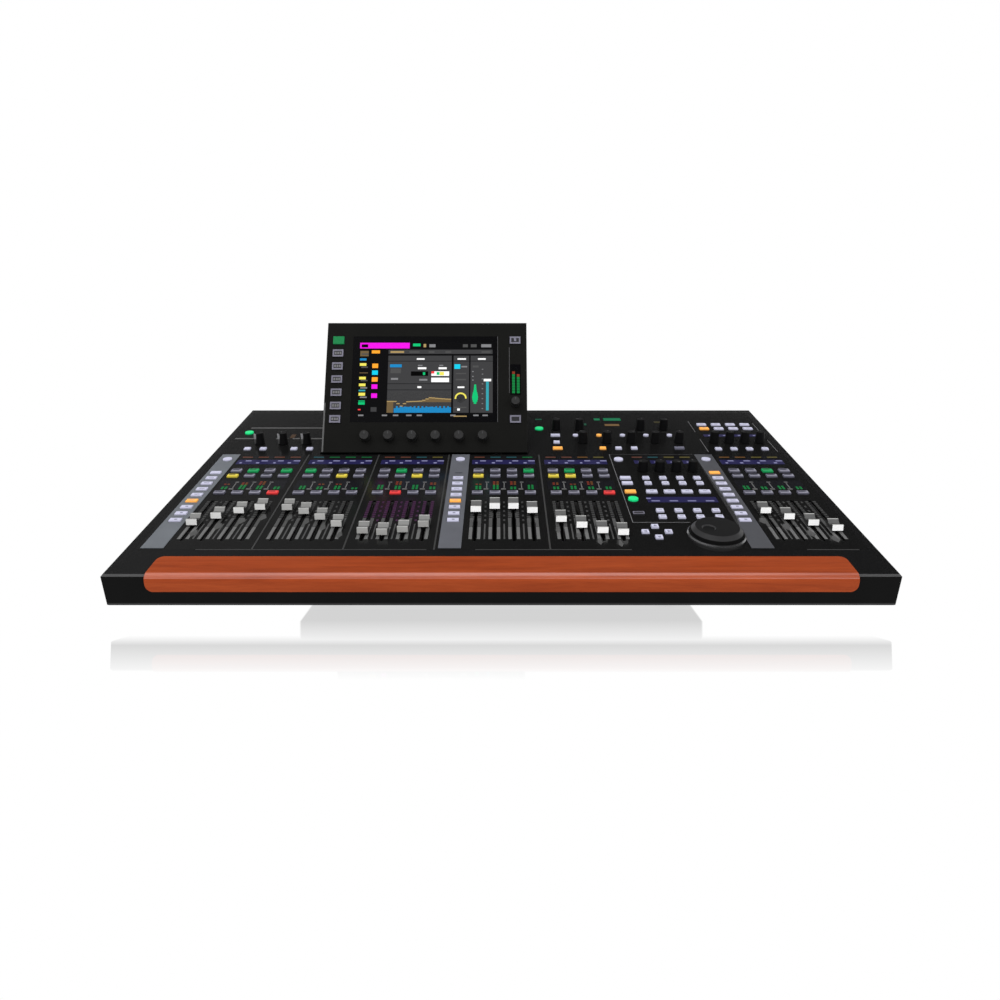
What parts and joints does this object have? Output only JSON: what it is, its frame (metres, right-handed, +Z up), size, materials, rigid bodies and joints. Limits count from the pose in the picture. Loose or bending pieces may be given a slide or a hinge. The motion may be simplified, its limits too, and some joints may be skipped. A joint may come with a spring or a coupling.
{
  "type": "digital mixing console",
  "caption": "Digital mixing console with sloped control surface, motor faders, rotary controls, jog wheel, wooden palm rest and folding touch screen.",
  "frame": {"origin": "on the supporting surface, under the middle of the footprint", "axes": "+X to the operator's right, +Y to the rear (connector side), +Z up"},
  "size_m": [0.8694, 0.578, 0.3322],
  "materials": {
    "painted_steel": "fine matt powder coat",
    "black_aluminium": "black satin coat",
    "grey_trim": "satin",
    "smoked_lens": "gloss",
    "keys": "translucent satin",
    "knobs": "soft matt",
    "fader_caps": "satin",
    "palm_wood": "stained and lacquered",
    "sockets": "satin",
    "rubber": "matt",
    "hinge_steel": "blackened",
    "module_metal": "bare",
    "board": "solder mask",
    "supply_case": "bare",
    "screen_shell": "fine satin",
    "display": "gloss"
  },
  "bodies": {
    "console": {"lower_chassis": "painted_steel", "top_surround": "black_aluminium", "control_panel": "black_aluminium", "panel_trim": "grey_trim", "display_windows": "smoked_lens", "channel_buttons": "keys", "layer_buttons": "keys", "section_buttons": "keys", "section_knobs": "knobs", "palm_rest": "palm_wood", "rear_panel": "painted_steel", "audio_sockets": "sockets", "data_ports": "sockets", "power_inlet": "sockets", "rubber_feet": "rubber", "hinge_brackets": "hinge_steel", "fader_modules": "module_metal", "circuit_boards": "board", "power_supply": "supply_case"},
    "screen": {"screen_housing": "screen_shell", "screen_bezel": "screen_shell", "display_glass": "display", "screen_buttons": "keys"},
    "fader_cap_01": {"fader_cap_01": "fader_caps"},
    "fader_cap_02": {"fader_cap_02": "fader_caps"},
    "fader_cap_03": {"fader_cap_03": "fader_caps"},
    "fader_cap_04": {"fader_cap_04": "fader_caps"},
    "fader_cap_05": {"fader_cap_05": "fader_caps"},
    "fader_cap_06": {"fader_cap_06": "fader_caps"},
    "fader_cap_07": {"fader_cap_07": "fader_caps"},
    "fader_cap_08": {"fader_cap_08": "fader_caps"},
    "fader_cap_09": {"fader_cap_09": "fader_caps"},
    "fader_cap_10": {"fader_cap_10": "fader_caps"},
    "fader_cap_11": {"fader_cap_11": "fader_caps"},
    "fader_cap_12": {"fader_cap_12": "fader_caps"},
    "fader_cap_13": {"fader_cap_13": "fader_caps"},
    "fader_cap_14": {"fader_cap_14": "fader_caps"},
    "fader_cap_15": {"fader_cap_15": "fader_caps"},
    "fader_cap_16": {"fader_cap_16": "fader_caps"},
    "fader_cap_17": {"fader_cap_17": "fader_caps"},
    "fader_cap_18": {"fader_cap_18": "fader_caps"},
    "fader_cap_19": {"fader_cap_19": "fader_caps"},
    "fader_cap_20": {"fader_cap_20": "fader_caps"},
    "fader_cap_21": {"fader_cap_21": "fader_caps"},
    "fader_cap_22": {"fader_cap_22": "fader_caps"},
    "fader_cap_23": {"fader_cap_23": "fader_caps"},
    "fader_cap_24": {"fader_cap_24": "fader_caps"},
    "jog_wheel": {"jog_wheel": "knobs"},
    "screen_encoder_1": {"screen_encoder_1": "knobs"},
    "screen_encoder_2": {"screen_encoder_2": "knobs"},
    "screen_encoder_3": {"screen_encoder_3": "knobs"},
    "screen_encoder_4": {"screen_encoder_4": "knobs"},
    "screen_encoder_5": {"screen_encoder_5": "knobs"},
    "screen_encoder_6": {"screen_encoder_6": "knobs"},
    "screen_level_knob": {"screen_level_knob": "knobs"},
    "cursor_key_up": {"cursor_key_up": "keys"},
    "cursor_key_down": {"cursor_key_down": "keys"},
    "cursor_key_left": {"cursor_key_left": "keys"},
    "cursor_key_right": {"cursor_key_right": "keys"},
    "power_switch": {"power_switch": "sockets"}
  },
  "joints": [
    {"name": "screen_tilt", "type": "hinge", "parent": "console", "child": "screen", "pos_m": [-0.115, 0.07317, 0.13898], "axis": [1, 0, 0], "range_deg": [-52.1, 8]},
    {"name": "fader_01_slide", "type": "slide", "parent": "console", "child": "fader_cap_01", "axis": [0, 0.9724, 0.2334], "range_m": [-0.0395, 0.0605]},
    {"name": "fader_02_slide", "type": "slide", "parent": "console", "child": "fader_cap_02", "axis": [0, 0.9724, 0.2334], "range_m": [-0.0575, 0.0425]},
    {"name": "fader_03_slide", "type": "slide", "parent": "console", "child": "fader_cap_03", "axis": [0, 0.9724, 0.2334], "range_m": [-0.0725, 0.0275]},
    {"name": "fader_04_slide", "type": "slide", "parent": "console", "child": "fader_cap_04", "axis": [0, 0.9724, 0.2334], "range_m": [-0.0825, 0.0175]},
    {"name": "fader_05_slide", "type": "slide", "parent": "console", "child": "fader_cap_05", "axis": [0, 0.9724, 0.2334], "range_m": [-0.0815, 0.0185]},
    {"name": "fader_06_slide", "type": "slide", "parent": "console", "child": "fader_cap_06", "axis": [0, 0.9724, 0.2334], "range_m": [-0.0705, 0.0295]},
    {"name": "fader_07_slide", "type": "slide", "parent": "console", "child": "fader_cap_07", "axis": [0, 0.9724, 0.2334], "range_m": [-0.0545, 0.0455]},
    {"name": "fader_08_slide", "type": "slide", "parent": "console", "child": "fader_cap_08", "axis": [0, 0.9724, 0.2334], "range_m": [-0.0355, 0.0645]},
    {"name": "fader_09_slide", "type": "slide", "parent": "console", "child": "fader_cap_09", "axis": [0, 0.9724, 0.2334], "range_m": [-0.0175, 0.0825]},
    {"name": "fader_10_slide", "type": "slide", "parent": "console", "child": "fader_cap_10", "axis": [0, 0.9724, 0.2334], "range_m": [-0.0135, 0.0865]},
    {"name": "fader_11_slide", "type": "slide", "parent": "console", "child": "fader_cap_11", "axis": [0, 0.9724, 0.2334], "range_m": [-0.0205, 0.0795]},
    {"name": "fader_12_slide", "type": "slide", "parent": "console", "child": "fader_cap_12", "axis": [0, 0.9724, 0.2334], "range_m": [-0.0345, 0.0655]},
    {"name": "fader_13_slide", "type": "slide", "parent": "console", "child": "fader_cap_13", "axis": [0, 0.9724, 0.2334], "range_m": [-0.0765, 0.0235]},
    {"name": "fader_14_slide", "type": "slide", "parent": "console", "child": "fader_cap_14", "axis": [0, 0.9724, 0.2334], "range_m": [-0.0855, 0.0145]},
    {"name": "fader_15_slide", "type": "slide", "parent": "console", "child": "fader_cap_15", "axis": [0, 0.9724, 0.2334], "range_m": [-0.0855, 0.0145]},
    {"name": "fader_16_slide", "type": "slide", "parent": "console", "child": "fader_cap_16", "axis": [0, 0.9724, 0.2334], "range_m": [-0.0735, 0.0265]},
    {"name": "fader_17_slide", "type": "slide", "parent": "console", "child": "fader_cap_17", "axis": [0, 0.9724, 0.2334], "range_m": [-0.0485, 0.0515]},
    {"name": "fader_18_slide", "type": "slide", "parent": "console", "child": "fader_cap_18", "axis": [0, 0.9724, 0.2334], "range_m": [-0.0325, 0.0675]},
    {"name": "fader_19_slide", "type": "slide", "parent": "console", "child": "fader_cap_19", "axis": [0, 0.9724, 0.2334], "range_m": [-0.0185, 0.0815]},
    {"name": "fader_20_slide", "type": "slide", "parent": "console", "child": "fader_cap_20", "axis": [0, 0.9724, 0.2334], "range_m": [-0.0135, 0.0865]},
    {"name": "fader_21_slide", "type": "slide", "parent": "console", "child": "fader_cap_21", "axis": [0, 0.9724, 0.2334], "range_m": [-0.0725, 0.0275]},
    {"name": "fader_22_slide", "type": "slide", "parent": "console", "child": "fader_cap_22", "axis": [0, 0.9724, 0.2334], "range_m": [-0.0555, 0.0445]},
    {"name": "fader_23_slide", "type": "slide", "parent": "console", "child": "fader_cap_23", "axis": [0, 0.9724, 0.2334], "range_m": [-0.0385, 0.0615]},
    {"name": "fader_24_slide", "type": "slide", "parent": "console", "child": "fader_cap_24", "axis": [0, 0.9724, 0.2334], "range_m": [-0.0245, 0.0755]},
    {"name": "jog_wheel_spin", "type": "hinge", "parent": "console", "child": "jog_wheel", "pos_m": [0.2565, -0.19599, 0.07652], "axis": [0, -0.2334, 0.9724], "continuous": true},
    {"name": "screen_encoder_1_turn", "type": "hinge", "parent": "screen", "child": "screen_encoder_1", "pos_m": [-0.2047, 0.07058, 0.16234], "axis": [0, -0.9107, 0.4131], "continuous": true},
    {"name": "screen_encoder_2_turn", "type": "hinge", "parent": "screen", "child": "screen_encoder_2", "pos_m": [-0.1693, 0.07058, 0.16234], "axis": [0, -0.9107, 0.4131], "continuous": true},
    {"name": "screen_encoder_3_turn", "type": "hinge", "parent": "screen", "child": "screen_encoder_3", "pos_m": [-0.1339, 0.07058, 0.16234], "axis": [0, -0.9107, 0.4131], "continuous": true},
    {"name": "screen_encoder_4_turn", "type": "hinge", "parent": "screen", "child": "screen_encoder_4", "pos_m": [-0.0985, 0.07058, 0.16234], "axis": [0, -0.9107, 0.4131], "continuous": true},
    {"name": "screen_encoder_5_turn", "type": "hinge", "parent": "screen", "child": "screen_encoder_5", "pos_m": [-0.0631, 0.07058, 0.16234], "axis": [0, -0.9107, 0.4131], "continuous": true},
    {"name": "screen_encoder_6_turn", "type": "hinge", "parent": "screen", "child": "screen_encoder_6", "pos_m": [-0.0277, 0.07058, 0.16234], "axis": [0, -0.9107, 0.4131], "continuous": true},
    {"name": "screen_level_turn", "type": "hinge", "parent": "screen", "child": "screen_level_knob", "pos_m": [0.022, 0.09293, 0.2116], "axis": [0, -0.9107, 0.4131], "range_deg": [-150, 150]},
    {"name": "cursor_key_up_press", "type": "slide", "parent": "console", "child": "cursor_key_up", "axis": [0, -0.2334, 0.9724], "range_m": [-0.0012, 0], "stiffness_N_per_m": 400},
    {"name": "cursor_key_down_press", "type": "slide", "parent": "console", "child": "cursor_key_down", "axis": [0, -0.2334, 0.9724], "range_m": [-0.0012, 0], "stiffness_N_per_m": 400},
    {"name": "cursor_key_left_press", "type": "slide", "parent": "console", "child": "cursor_key_left", "axis": [0, -0.2334, 0.9724], "range_m": [-0.0012, 0], "stiffness_N_per_m": 400},
    {"name": "cursor_key_right_press", "type": "slide", "parent": "console", "child": "cursor_key_right", "axis": [0, -0.2334, 0.9724], "range_m": [-0.0012, 0], "stiffness_N_per_m": 400},
    {"name": "power_switch_rock", "type": "hinge", "parent": "console", "child": "power_switch", "pos_m": [-0.201, 0.2796, 0.0745], "axis": [1, 0, 0], "range_deg": [0, 16]}
  ]
}
